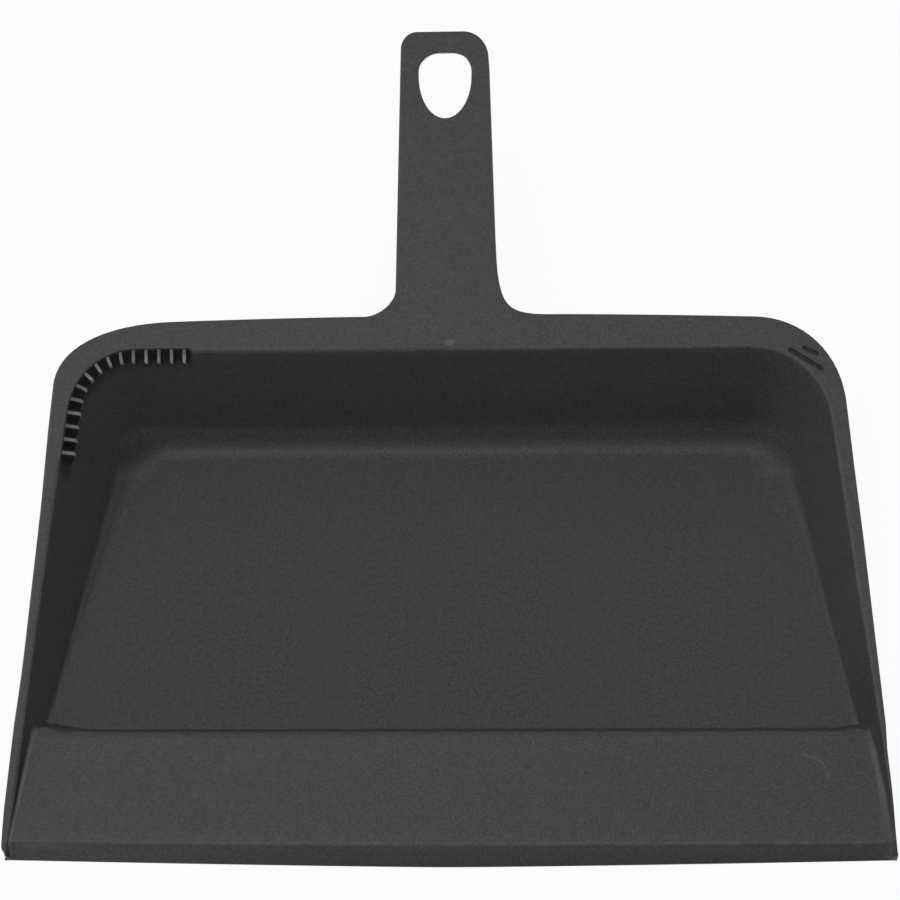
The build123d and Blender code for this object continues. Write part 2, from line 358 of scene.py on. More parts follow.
def finishMesh(name, bm):
    bmesh.ops.remove_doubles(bm, verts=bm.verts, dist=skin["join"])
    bmesh.ops.dissolve_degenerate(bm, edges=bm.edges, dist=skin["shortest"])
    bmesh.ops.delete(bm, geom=[v for v in bm.verts if not v.link_faces], context="VERTS")
    bmesh.ops.recalc_face_normals(bm, faces=bm.faces)
    if bm.calc_volume(signed=True) < 0:
        bmesh.ops.reverse_faces(bm, faces=bm.faces)
    loose = sum(len(e.link_faces) != 2 for e in bm.edges)
    # convex edges get rubbed wear with a painted highlight, tight hollows get painted shade
    layers = bm.verts.layers.float
    rubbed = layers.get("rubbed") or layers.new("rubbed")
    dirt = layers.get("dirt") or layers.new("dirt")
    for v in bm.verts:
        turns = [e.calc_face_angle_signed(0.0) for e in v.link_edges if len(e.link_faces) == 2]
        hollow = max(-min(turns + [0]) - skin["hollow"], 0)
        v[rubbed] = max(v[rubbed], min(max(turns + [0]) / skin["turn"], 1.0) * (1 - v[dirt]))
        v[dirt] = max(v[dirt], min(hollow / skin["turn"], 1.0))
    mesh = bpy.data.meshes.new(name)
    bm.to_mesh(mesh)
    bm.free()
    mesh.shade_smooth()
    mesh.set_sharp_from_angle(angle=radians(skin["sharp"]))
    print(name, len(mesh.vertices), "vertices,", loose, "open edges")
    return addObject(name, mesh)


bevelSteps, crestSteps, heelSteps = pan["mouthSteps"]


# Height lines of the mouth: bevel, ramp and riser above, and the hollow under them
def mouthLines():
    edge = Vector((pan["lipBow"], pan["lipEdge"]))
    bevel = Vector(pan["bevel"])
    crest = Vector(pan["crest"])
    heel = Vector(pan["heel"])
    back = Vector((pan["lastSide"], pan["floor"]))
    top = [edge]
    top += arcCorner(edge, bevel, crest, pan["bevelRound"], bevelSteps)
    top += arcCorner(bevel, crest, heel, pan["crestRound"], crestSteps)
    top += arcCorner(crest, heel, back, pan["heelRound"], heelSteps)
    top.append(back)
    rise = (crest - bevel).normalized()
    fall = (heel - crest).normalized()
    turn = rise.y * fall.x - rise.x * fall.y
    lipUnder = bevel + rise * pan["lipFoot"] + Vector((rise.y, -rise.x)) * pan["wall"]
    crestUnder = crest + (fall - rise) * (pan["wall"] / turn)
    heelFront = crestUnder + fall * (crestUnder.y / -fall.y)
    under = [Vector((pan["lipBow"], 0)), Vector((pan["lipBow"] + pan["lipFoot"], 0))]
    under += [lipUnder, crestUnder, heelFront, Vector((pan["lastSide"], 0))]
    return [tuple(p) for p in top], [tuple(p) for p in under]


topLine, underLine = mouthLines()
crestDepth = pan["crest"][0]
heelFront = underLine[-2][0]


def curlAt(depth):
    return pan["curl"] * ease((depth - pan["curlFrom"]) / (crestDepth - pan["curlFrom"]))


wallLine = [(d + curlAt(d), z) for d, z in topLine[:-1]]
heelBack = wallLine[-1][0]
crestStart = bevelSteps + 2
crestArc = wallLine[crestStart:crestStart + crestSteps + 1]
wallLine.append(topLine[-1])
# how far the middle of a row lies in front of its ends
curlLine = [(d + curlAt(d), curlAt(d)) for d in range(int(pan["curlFrom"]), int(crestDepth) + 2)]


def pickDepths():
    noseEnd = pan["lipBow"] + max(rim["nose"].values())
    wanted = [d for d, _ in wallLine + underLine]
    noseSteps = pan["noseSteps"]
    wanted += [blend(pan["lipBow"], noseEnd, (i / noseSteps) ** 2) for i in range(noseSteps + 1)]
    gaps = sorted(set(wanted))
    for a, b in zip(gaps, gaps[1:]):
        steps = int((b - a) / pan["sideStep"])
        wanted += [blend(a, b, i / (steps + 1)) for i in range(1, steps + 1)]
    picked = []
    for d in sorted(wanted):
        if not picked or d - picked[-1] > pan["sideLeast"] or d in (heelBack, heelFront):
            picked.append(d)
    return picked


sideDepths = pickDepths()
sideCount = len(sideDepths)
halfStations = [("side", d) for d in sideDepths]
halfStations += [("corner", i / pan["cornerSteps"]) for i in range(pan["cornerSteps"] + 1)]
backShares = [(i + 1) / pan["backSteps"] for i in range(pan["backSteps"])] + list(pan["combShares"])
halfStations += [("back", share) for share in sorted(backShares)]
stations = [(-1, *s) for s in halfStations] + [(1, *s) for s in reversed(halfStations[:-1])]
lastStation = len(stations) - 1


def rimZ(depth, below=0.0):
    return rim["front"] + depth * slope - below / slopeCos


def onRim(p, below=0.0):
    return Vector((p.x, p.y, rimZ(p.y, below)))


# point of the rim plane at a length along the slope, sunk square to it
def underRim(p, below=0.0):
    depth = p.y * slopeCos + below * slopeSin
    return Vector((p.x, depth, rimZ(depth, below)))


def wallSpot(side, zone, t, height, skin):
    lean = radians(pan["sideLean"])
    backLean = radians(pan["backLean"])
    rise = height - pan["floor"]
    half = pan["floorHalf"] + (rise * tan(lean) + skin / cos(lean)) / cos(taper)
    if zone == "side":
        return Vector((half - t * tan(taper), t, height))
    back = pan["floorBack"] + rise * tan(backLean) + skin / cos(backLean)
    corner = pan["floorCorner"] + rise * pan["cornerGrowth"][side] + skin
    middle = back - corner
    across = half - middle * tan(taper) - corner / cos(taper)
    if zone == "corner":
        a = blend(taper, pi / 2, t)
        return Vector((across + corner * cos(a), middle + corner * sin(a), height))
    return Vector((across * (1 - t), back, height))


def wallOnRim(side, zone, t, skin, below=0.0):
    low = wallSpot(side, zone, t, 0, skin)
    high = wallSpot(side, zone, t, 100, skin)
    z = rimZ(low.y, below) / (1 - (high.y - low.y) / 100 * slope)
    return low.lerp(high, z / 100)


def outward(zone, t):
    if zone == "corner":
        a = blend(taper, pi / 2, t)
    elif zone == "side":
        a = taper * ease((t - heelBack) / (pan["lastSide"] - heelBack))
    else:
        a = pi / 2
    return Vector((cos(a), sin(a), 0))


def rimWidth(side, depth):
    half = pan["lipWidth"] / 2 - (depth - pan["lipBow"]) * tan(radians(rim["taper"]))
    half += readLine(rim["outer"][side], depth)
    plain = half - wallOnRim(side, "side", depth, 0).x
    return half, plain + readLine(rim["extra"][side], depth)


def rimInner(side, depth):
    half, width = rimWidth(side, depth)
    return half - width


def rimOuter(side, depth):
    half, width = rimWidth(side, depth)
    nose = rim["nose"][side]
    behind = max(depth - pan["lipBow"], 0)
    if behind >= nose:
        return half
    curve = pan["lipWidth"] / 2 - nose + sqrt(nose * nose - (nose - behind) ** 2)
    return max(min(curve, half), half - width + rim["noseLeast"])


def backShare(zone, t):
    return {"side": 0, "corner": ease(t), "back": 1}[zone]


def besideComb(side, zone, t):
    if side > 0:
        return False
    return {"side": t > pan["combFront"], "corner": True, "back": t < pan["combShares"][1]}[zone]


# Inside of the pan at one station, from the floor up to the flange
def innerColumn(side, zone, t):
    level = readLine(wallLine, t) if zone == "side" else pan["floor"]
    lag = 0.0
    if zone == "side":
        fade = ease(1 - (t - heelBack) / pan["curlFade"])
        lag = (1 - pan["curlShare"][side]) * readLine(curlLine, t) * fade
    foot = wallSpot(side, zone, t - lag, level, 0)
    edge = wallOnRim(side, zone, t, 0)
    room = rim["room"]
    if zone == "side":
        edge.x = rimInner(side, t)
        foot.x += readLine(pan["footOut"][side], t)
        room = rimOuter(side, t) - edge.x
    out = outward(zone, t)
    rimOut = (out + up * out.y * slope).normalized()
    atComb = besideComb(side, zone, t)
    down = foot - edge
    tall = down.length
    down.normalize()
    edgeLeg = rim["combRound"] if atComb else rim["innerRound"][side]
    edgeLeg = min(edgeLeg, rim["roundMost"] * tall, rim["roundMost"] * room)
    half = out.angle(-down) / 2
    footLeg = min(readLine(pan["foot"][side], foot.y) * tan(half), pan["footMost"] * tall)
    grown = 1 + pan["footCorner"][side] * sin(pi * t) if zone == "corner" else 1
    rounded = conic(foot - out * footLeg * grown, foot, foot - down * footLeg * grown, cos(half), footSteps)
    chamferLow = foot - out * pan["chamferRun"] * grown
    chamferTop = foot - down * pan["chamferTall"] * grown
    middle = chamferLow.lerp(chamferTop, pan["chamferMiddle"])
    chamfer = bend(chamferLow - out * pan["chamferSoftLow"] * grown, chamferLow, middle, chamferSteps)
    softTop = chamferTop - down * pan["chamferSoftTop"]
    chamfer += bend(middle, chamferTop, softTop, footSteps - chamferSteps)[1:]
    lower = [a.lerp(b, backShare(zone, t)) for a, b in zip(rounded, chamfer)]
    column = [lower[0] - out * pan["guard"]] + lower
    column += [lower[-1].lerp(edge + down * edgeLeg, part) for part in pan["wallRows"]]
    if atComb:
        edge += rimOut * blend(*rim["combCut"], {"side": 0, "corner": min(2 * t, 1), "back": 1}[zone])
    column += bend(edge + down * edgeLeg, edge, edge + rimOut * edgeLeg, edgeSteps)
    column.append(edge + rimOut * (edgeLeg + min(rim["guard"], rim["guardMost"] * room)))
    return column if side > 0 else flip(column)


# Outside of the wall at one station, from under the rim down to the ground
def outerWallColumn(side, zone, t):
    if zone == "side":
        top = wallSpot(side, zone, t, max(rimZ(t, rim["drop"]), 0), pan["wall"])
    else:
        top = wallOnRim(side, zone, t, pan["wall"], rim["drop"])
    foot = wallSpot(side, zone, t, 0, pan["wall"])
    out = outward(zone, t)
    tall = (top - foot).length
    rise = (top - foot).normalized() if tall > 0.01 else up
    grown = ease((foot.y - heelBack) / (pan["floorBack"] - heelBack))
    leg = min(blend(pan["underFront"], pan["underBack"], grown), pan["underMost"] * tall)
    low = foot + rise * leg
    column = [top] + [low.lerp(top, share) for share in pan["outerRows"]]
    column += bend(low, foot, foot - out * leg, pan["underSteps"])
    hollow = readLine(underLine, t) if zone == "side" else 0
    inner = foot - out * (leg + pan["guard"])
    roof = inner
    if zone == "side":
        inner.x = min(wallSpot(side, zone, t, 0, 0).x, inner.x)
        if hollow > 0.01:
            inner.y = t
            roof = wallSpot(side, zone, t, hollow, 0)
    column += [inner, roof]
    return column if side > 0 else flip(column)


# Plan of the rim and the handle, one half from the nose to the middle of the tip
def outlineHalf(side):
    points = [Vector((rimOuter(side, d), d)) for d in sideDepths]
    lean = radians(rim["taper"])
    sag = rim["backSag"][side]
    width = rimWidth(side, rim["back"][side])[0]
    bow = (width * width + sag * sag) / (2 * sag)

    def backDepth(x):
        return rim["back"][side] - bow + sqrt(bow * bow - x * x)

    # the side's line and the back's tangent cross at the corner
    start = Vector((rimWidth(side, rim["cornerSide"][side])[0], rim["cornerSide"][side]))
    end = Vector((rim["cornerBack"][side], backDepth(rim["cornerBack"][side])))
    fall = end.x / sqrt(bow * bow - end.x * end.x)
    behind = (end.y - start.y - fall * (start.x - end.x)) / (1 - fall * tan(lean))
    corner = start + Vector((-tan(lean), 1)) * behind
    points += conic(start, corner, end, rim["cornerWeight"][side], pan["cornerSteps"])

    root = Vector((grip["rootWidth"][side] / 2, backDepth(grip["rootWidth"][side] / 2)))
    tip = Vector((grip["tipWidth"][side] / 2, pan["length"]))
    alongRim = (Vector((root.x * 3, backDepth(root.x * 3))) - root).normalized()
    alongGrip = (tip - root).normalized()
    rimLeg, gripLeg, tight = grip["rootRound"][side]
    rootStart = root + alongRim * rimLeg
    rootArc = conic(rootStart, root, root + alongGrip * gripLeg, tight, grip["rootSteps"])
    tipArc = arcCorner(root, tip, Vector((0, pan["length"])), grip["tipRound"][side], grip["tipSteps"])
    for i in range(1, pan["backSteps"]):
        x = blend(points[-1].x, rootArc[0].x, 1 / (pan["backSteps"] - i + 1))
        points.append(Vector((x, backDepth(x))))
    points += rootArc
    points += [rootArc[-1].lerp(tipArc[0], i / grip["sideSteps"]) for i in range(1, grip["sideSteps"])]
    points += tipArc
    points.append(Vector((0, pan["length"])))
    return points


outline = flip(outlineHalf(-1)) + outlineHalf(1)[-2::-1]
lastOutline = len(outline) - 1


def outlineOut(i):
    run = outline[min(i + 1, lastOutline)] - outline[max(i - 1, 0)]
    return Vector((-run.y, run.x)).normalized()


# Turned-down edge of the rim at one point of the outline, from the flange to the bottom of the skirt
def edgeColumn(i):
    p = outline[i]
    out = outlineOut(i)
    room = rim["room"]
    if min(i, lastOutline - i) < sideCount:
        side = -1 if i < sideCount else 1
        half, width = rimWidth(side, p.y)
        room = abs(p.x) - half + width
    leg = min(rim["edgeRound"], rim["roundMost"] * room)
    low = max(rimZ(p.y, rim["drop"]), 0)
    bottom = min(rim["bottomRound"], rim["roundMost"] * room)
    column = [onRim(p - out * (leg + min(rim["guard"], rim["guardMost"] * room)))]
    corner = onRim(p)
    column += bend(onRim(p - out * leg), corner, corner - up * leg, edgeSteps)
    foot = Vector((p.x, p.y, low))
    inset = p - out * bottom
    under = Vector((inset.x, inset.y, max(rimZ(inset.y, rim["drop"]), 0)))
    column += bend(foot + up * bottom, foot, under, bottomSteps)
    return column


def skirtColumn(i):
    p = outline[i]
    inside = p - outlineOut(i) * rim["skirt"]
    guard = p - outlineOut(i) * (rim["skirt"] + rim["skirtGuard"])
    return [onRim(inside, rim["drop"]), onRim(inside, rim["flange"]), onRim(guard, rim["flange"])]


# Egg-shaped hole in lengths along the slope: half an ellipse towards the pan, blunt towards the tip
def holeLoop():
    half = grip["holeWidth"] / 2
    widest = grip["holeWidest"] / slopeCos
    far = grip["holeFar"] / slopeCos
    nearReach = (grip["holeWidest"] - grip["holeNear"]) / slopeCos
    loop = []
    for i in range(grip["holeSteps"] + 1):
        a = pi + pi * i / grip["holeSteps"]
        loop.append(Vector((half * cos(a), widest + nearReach * sin(a))))
    corners = [Vector((half, widest)), Vector((half, far)), Vector((-half, far)), Vector((-half, widest))]
    for turn in (corners[:3], corners[1:]):
        loop += arcCorner(*turn, grip["holeFarRound"], grip["holeFarSteps"])
    return loop


def holeColumn(loop, i):
    p = loop[i]
    run = loop[(i + 1) % len(loop)] - loop[i - 1]
    out = Vector((run.y, -run.x)).normalized()
    leg = grip["holeRound"]
    bottom = rim["bottomRound"]
    drop = grip["collarDrop"]
    column = [underRim(p + out * (leg + rim["guard"]))]
    column += bend(underRim(p + out * leg), underRim(p), underRim(p, leg), edgeSteps)
    low = p + out * grip["holeDraft"]
    lowest = underRim(low + out * bottom, drop)
    column += bend(underRim(low, drop - bottom), underRim(low, drop), lowest, bottomSteps)
    outer = p + out * grip["collar"]
    column += [underRim(outer, drop), underRim(outer, rim["flange"])]
    column.append(underRim(outer + out * rim["guard"], rim["flange"]))
    return column


# Rounded outline round a mark, away from its middle line by a share of its half width
def markRing(mark, share):
    start = Vector(mark["start"])
    end = Vector(mark["end"])
    run = (end - start).normalized() * mark["width"] / 2 * share
    side = Vector((-run.y, run.x))
    ring = []
    for a, b, turn in ((start, end, 1), (end, start, -1)):
        ring += [a.lerp(b, i / markSteps) - side * turn for i in range(markSteps + 1)]
        for i in range(1, markRound):
            angle = i * pi / markRound
            ring.append(b - side * (turn * cos(angle)) + run * (turn * sin(angle)))
    return ring


def markDrop(p):
    for mark in marks:
        start = Vector(mark["start"])
        run = Vector(mark["end"]) - start
        t = min(max((p - start).dot(run) / run.dot(run), 0.0), 1.0)
        share = (p - start - run * t).length / (mark["width"] / 2)
        if share < 1:
            return mark["depth"] * ease((1 - share) / markSoft)
    return 0.0


def acrossShares():
    wide = 2 * pan["floorHalf"]
    ends = [e / wide for e in pan["acrossEnds"]]
    steps = [i / pan["acrossSteps"] for i in range(1, pan["acrossSteps"])]
    return [0.0] + ends + steps + [1 - e for e in reversed(ends)] + [1.0]


# one row from wall to wall, bowed forward in the middle and pulled forward between its end corners
def across(left, right, bow, pull=0.0):
    row = []
    for share in acrossShares():
        u = 2 * share - 1
        p = left.lerp(right, share)
        inward = (1 - abs(u)) * pan["floorHalf"] / pan["curlWidth"][-1 if u < 0 else 1]
        ahead = pull * blend(pan["curlShare"][-1], pan["curlShare"][1], share)
        p.y -= bow * (1 - abs(u) ** pan["lipCurve"]) + ahead * (1 - max(1 - inward, 0) ** 2)
        row.append(p)
    return row


def fadeFrom(given, depth):
    most, end, run = given
    return most * ease((end - depth) / run)


def buildBody():
    bm = bmesh.new()
    rubbed = bm.verts.layers.float.new("rubbed")
    dirt = bm.verts.layers.float.new("dirt")
    polished = bm.verts.layers.float.new("polished")
    inner = [innerColumn(*s) for s in stations]
    wall = [outerWallColumn(*s) for s in stations]
    edge = [edgeColumn(i) for i in range(lastOutline + 1)]
    made = addGrid(bm, inner)
    addGrid(bm, wall)
    edges = addGrid(bm, edge)
    crestEnd = crestDepth + pan["curl"]
    wallTop = footSteps + 2 + len(pan["wallRows"])
    # painted shade in the foot beside the floor, behind the step, on the low front walls and rim and in the
    # comb's pockets; painted highlight along the ends of the ramp
    for column, (side, zone, t) in zip(made, stations):
        behind = backShare(zone, t)
        most = blend(pan["footPaintedShade"][side], pan["footPaintedShadeBack"], behind)
        peak = blend(pan["footPaintedShadePeak"][side], pan["footPaintedShadePeakBack"], behind)
        paintedShadeRows = blend(footSteps, pan["footPaintedShadeRowsBack"], behind)
        if zone == "corner":
            most += pan["footPaintedShadeCorner"][side] * sin(pi * t)
        for i in range(1, footSteps):
            v = column[1 + i]
            if zone == "side" and t < crestEnd:
                v[rubbed] = readLine(pan["rampEnd"][side], t)
            elif zone != "side" or t > heelBack:
                v[dirt] = most * sin(pi * min(i / paintedShadeRows, 1) ** peak) ** pan["footPaintedShadeFall"]
                if zone == "side":
                    amount, run = pan["stepPaintedShade"][side]
                    v[dirt] = max(v[dirt], amount * ease(1 - (t - heelBack) / run))
        if zone != "side" or t > heelBack:
            column[0][polished] = 1
        if zone == "side":
            least, begin, run = pan["cheekFront"]
            for v in column[footSteps + 1:wallTop]:
                v[dirt] = fadeFrom(pan["cheekPaintedShade"][side], t) * blend(least, 1, ease((t - begin) / run))
            for v in column[wallTop:]:
                v[dirt] = fadeFrom(pan["rimPaintedShade"][side], t)
        if besideComb(side, zone, t):
            for v, a, b in zip(column[wallTop - 3:], pan["pocketPaintedShadeSide"], pan["pocketPaintedShadeBack"]):
                v[dirt] = blend(a, b, behind)
            for v in column[wallTop:-2]:
                v[dirt] = 1.0
    # painted shade on the outer rounding of the rim towards its low front ends
    for i in range(sideCount):
        for side, column in ((-1, edges[i]), (1, edges[lastOutline - i])):
            for v in column[:edgeSteps]:
                v[dirt] = fadeFrom(pan["rimPaintedShade"][side], sideDepths[i])

    # mouth: bowed rows across the bevel, ramp and riser, and across the hollow below
    heelRow = sideDepths.index(heelBack)
    hollowRow = sideDepths.index(heelFront)
    bevelRun = pan["bevel"][0] - pan["lipBow"]
    lipRun = underLine[2][0] - pan["lipBow"]
    topRows = []
    underRows = []
    for i in range(heelRow + 1):
        ahead = max(1 - (sideDepths[i] - pan["lipBow"]) / bevelRun, 0)
        behind = ease((crestDepth - sideDepths[i]) / (crestDepth - pan["bevel"][0]))
        bow = blend(pan["bevelCentre"] * behind, pan["lipCentre"], ahead)
        pull = readLine(curlLine, sideDepths[i])
        topRows.append(across(inner[i][0], inner[lastStation - i][0], bow, pull))
    for i in range(hollowRow + 1):
        bow = pan["lipCentre"] * max(1 - (sideDepths[i] - pan["lipBow"]) / lipRun, 0)
        underRows.append(across(wall[i][-1], wall[lastStation - i][-1], bow))
    made = addGrid(bm, topRows)
    paintedShadeRise, paintedShadeStart = pan["lipPaintedShadeRise"]
    crestFirst = crestArc[1][0]
    crestRun = crestArc[-2][0] - crestFirst
    # painted shade on the lip's bevel and on the ramp's right half; painted highlight along the bevel's
    # edge, the lip's left end and the back of the crest
    for i, row in enumerate(made):
        away = sideDepths[i] - pan["bevel"][0]
        for v, share in zip(row, acrossShares()):
            if away < -pan["bevelBand"]:
                back = 1 + away / bevelRun
                v[dirt] = blend(*pan["lipPaintedShade"], back) * ease(share * paintedShadeRise - paintedShadeStart)
                leftEnd = 1 - ease(share * pan["lipHighlightFall"])
                v[rubbed] = pan["lipHighlight"] * leftEnd * back ** pan["lipHighlightPower"]
            elif away < pan["bevelBand"]:
                v[rubbed] = pan["bevelWear"] * ease(share * pan["bevelWearRise"])
            elif sideDepths[i] < crestDepth:
                v[dirt] = pan["rampPaintedShade"] * ease(2 * share - 1)
            elif v.co.z > 2 * pan["floor"] * mm:
                v[rubbed] = pan["crestHighlight"] * ease((sideDepths[i] - crestFirst) / crestRun)
    addGrid(bm, underRows)
    addGrid(bm, [topRows[0], underRows[0]])

    # floor, above and below
    ring = [inner[i][0] for i in range(heelRow, lastStation - heelRow + 1)]
    for v, p in fillPlane(bm, [ring + topRows[-1][-2:0:-1]], lambda p: pan["floor"]):
        v[polished] = 1
    ring = [wall[i][-1] for i in range(hollowRow, lastStation - hollowRow + 1)]
    fillPlane(bm, [ring + underRows[-1][-2:0:-1]], lambda p: 0.0)

    # flange, ledge and front end along both sides
    firstBack = sideCount - 1
    for back in (False, True):
        flange = []
        ledge = []
        for i in range(sideCount):
            s = lastStation - i if back else i
            o = lastOutline - i if back else i
            half = edge[o][-1].lerp(wall[s][0], 0.5)
            flange.append([inner[s][-1], edge[o][0]])
            ledge.append([edge[o][-1], skirtColumn(o)[0] if i == firstBack else half, wall[s][0]])
        addGrid(bm, flange)
        addGrid(bm, ledge)
        s = lastStation if back else 0
        o = lastOutline if back else 0
        addRing(bm, inner[s] + edge[o] + ledge[0][1:2] + wall[s])

    # flange round the back with the handle, the marks and the hang hole
    backOutline = range(firstBack, lastOutline - firstBack + 1)
    backStations = range(firstBack, lastStation - firstBack + 1)
    hole = holeLoop()
    holeRows = [holeColumn(hole, i) for i in range(len(hole))]
    addGrid(bm, holeRows + holeRows[:1])
    ring = [edge[i][0] for i in backOutline] + [inner[i][-1] for i in reversed(backStations)]
    lines = []
    for mark in marks:
        lines += [markRing(mark, share) for share in markShares]
    holeTop = [row[0] for row in holeRows]
    for v, p in fillPlane(bm, [ring, holeTop], lambda p: rimZ(p.y) - markDrop(p), lines):
        # the raised mark is painted paler as a highlight
        if markDrop(p) < 0:
            v[rubbed] = marks[-1]["wearAndHighlight"]

    # channel under it
    skirt = {i: skirtColumn(i) for i in backOutline}
    under = {}
    for i in backStations:
        side, zone, t = stations[i]
        seat = wallOnRim(side, zone, t, pan["wall"], rim["flange"])
        out = outward(zone, t)
        column = [seat + (out + up * out.y * slope) * rim["skirtGuard"], seat]
        under[i] = (column if side > 0 else flip(column)) + [wall[i][0]]
    addGrid(bm, [[edge[i][-1], *skirt[i]] for i in backOutline])
    addGrid(bm, [under[i] for i in backStations])
    ring = [skirt[i][-1] for i in backOutline] + [under[i][0] for i in reversed(backStations)]
    fillPlane(bm, [ring, [row[-1] for row in holeRows]], lambda p: rimZ(p.y, rim["flange"]))
    for o, s in ((backOutline[0], backStations[0]), (backOutline[-1], backStations[-1])):
        addRing(bm, skirt[o] + under[s])
    return finishMesh("panBody", bm)


panBody = buildBody()
print("body built")

# Fins of the broom comb, set out along the inner edge of the rim in the left rear corner
comb = {
    "count": 15,
    "start": -92.0,
    "pitch": 4.5,
    "reach": 4.6,
    "cut": (-0.5, 1.3),
    "below": 0.2,
    "tip": 1.6,
    "drop": 10.0,
    "foot": -0.58,
    "footWide": 0.42,
    "sunk": 0.55,
    "topRound": 0.9,
    "kneeRound": 1.5,
    "rowStep": 0.25,
    "frontSteps": 8,
    "cornerRadius": 19.0,
    "cornerSteps": 24,
    "thickness": 1.25,
    "edge": 0.3,
    "rootFlare": 0.12,
    "flareRun": 1.2,
    "wallLean": 0.15,
    # painted shade on the fins' faces and lower shanks, from which share of the tip the shank darkens, and
    # the share of the tops' painted highlight kept at the root
    "facePaintedShade": 0.8,
    "shankPaintedShade": 0.45,
    "shankFrom": 0.8,
    "rootHighlight": 0.25,
    # shares of the half thickness, and how far the edge is drawn in there
    "layers": ((-1, 1.0), (-0.86, 0.35), (-0.5, 0.0), (0.5, 0.0), (0.86, 0.35), (1, 1.0)),
}


# line through the middles of the fins, from the back round the corner, as long as their row
def combPath():
    backDepth = wallOnRim(-1, "back", 1.0, 0).y
    sideMiddle, middle = [comb["reach"] / 2 - cut for cut in comb["cut"]]
    corner = Vector((sideMiddle - rimInner(-1, backDepth), backDepth - middle))
    start = Vector((comb["start"], corner.y))
    end = Vector((sideMiddle - rimInner(-1, heelBack), heelBack))
    path = [start] + arcCorner(start, corner, end, comb["cornerRadius"], comb["cornerSteps"]) + [end]
    total = comb["pitch"] * (comb["count"] - 1)
    kept = [path[0]]
    for a, b in zip(path, path[1:]):
        step = (b - a).length
        if step >= total:
            kept.append(a.lerp(b, total / step))
            break
        kept.append(b)
        total -= step
    return kept


def finOutline():
    root = -comb["reach"] / 2
    tip = comb["reach"] / 2
    top = -comb["below"]
    corner = Vector((tip, top))
    knee = Vector((tip, -comb["tip"]))
    foot = Vector((comb["foot"], -comb["drop"]))
    steps = comb["frontSteps"]
    points = [Vector((root - comb["sunk"], top))]
    points += [Vector((root + comb["rowStep"] * i, top)) for i in range(-1, 9)]
    points += arcCorner(Vector((root, top)), corner, knee, comb["topRound"], 5)
    points += arcCorner(corner, knee, foot, comb["kneeRound"], 4)
    points += [knee.lerp(foot, i / steps) for i in range(2, steps + 1)]
    points.append(foot - Vector((comb["footWide"], 0)))
    return points


# closes a stack of equal rings into a plate
def joinLayers(bm, layers):
    for low, high in zip(layers, layers[1:]):
        for i in range(len(low)):
            j = (i + 1) % len(low)
            bm.faces.new((low[i], low[j], high[j], high[i]))
    bm.faces.new(layers[0])
    bm.faces.new(layers[-1])


def buildFin():
    bm = bmesh.new()
    dirt = bm.verts.layers.float.new("dirt")
    points = finOutline()
    count = len(points)
    half = comb["thickness"] / 2
    layers = []
    for side, inset in comb["layers"]:
        layer = []
        for i, p in enumerate(points):
            run = points[(i + 1) % count] - points[i - 1]
            q = p + Vector((run.y, -run.x)).normalized() * comb["edge"] * inset
            away = q.x + comb["reach"] / 2 + comb["wallLean"] * q.y
            flare = 1 + comb["rootFlare"] * ease(1 - away / comb["flareRun"]) ** 2 / half
            v = bm.verts.new(Vector((side * half * flare, q.x, q.y)) * mm)
            # painted shade on both faces, and on the shank below the tip
            shank = comb["shankPaintedShade"] * ease(-q.y / comb["tip"] - comb["shankFrom"])
            v[dirt] = comb["facePaintedShade"] if abs(side) == 1 else shank
            layer.append(v)
        layers.append(layer)
    joinLayers(bm, layers)
    blank = finishMesh("finBlank", bm)
    # painted highlight on the tops, paler towards their tips
    for v, worn in zip(blank.data.vertices, blank.data.attributes["rubbed"].data):
        worn.value *= blend(comb["rootHighlight"], 1.0, ease(v.co.y / mm / comb["reach"] + 0.5))
    return blank


def addSockets(tree, inOut, sockets):
    for label, kind in sockets.items():
        tree.interface.new_socket(label, in_out=inOut, socket_type="NodeSocket" + kind)


def addNode(tree, kind, links=None, **settings):
    node = tree.nodes.new(kind)
    for key, value in settings.items():
        setattr(node, key, value)
    for key, value in (links or {}).items():
        if isinstance(value, bpy.types.NodeSocket):
            tree.links.new(value, node.inputs[key])
        else:
            node.inputs[key].default_value = value
    return node


def calculate(tree, operation, *values):
    return addNode(tree, "ShaderNodeMath", dict(enumerate(values)), operation=operation).outputs[0]


def times(tree, a, b):
    return calculate(tree, "MULTIPLY", a, b)


def newTree(name, sockets):
    tree = bpy.data.node_groups.new(name, "GeometryNodeTree")
    addSockets(tree, "INPUT", {"Geometry": "Geometry", **sockets})
    addSockets(tree, "OUTPUT", {"Geometry": "Geometry"})
    return tree, addNode(tree, "NodeGroupInput").outputs


# what stood level is made real and laid along the rim: z follows y
def finishTree(tree, given, stood):
    real = addNode(tree, "GeometryNodeRealizeInstances", {"Geometry": stood.outputs[0]})
    spot = addNode(tree, "GeometryNodeInputPosition")
    split = addNode(tree, "ShaderNodeSeparateXYZ", {0: spot.outputs[0]})
    shift = addNode(tree, "ShaderNodeCombineXYZ", {"Z": times(tree, split.outputs["Y"], given["Tilt"])})
    leaned = addNode(tree, "GeometryNodeSetPosition", {
        "Geometry": real.outputs[0], "Offset": shift.outputs[0]})
    painted = addNode(tree, "GeometryNodeSetMaterial", {
        "Geometry": leaned.outputs[0], "Material": given["Material"]})
    addNode(tree, "NodeGroupOutput", {"Geometry": painted.outputs[0]})


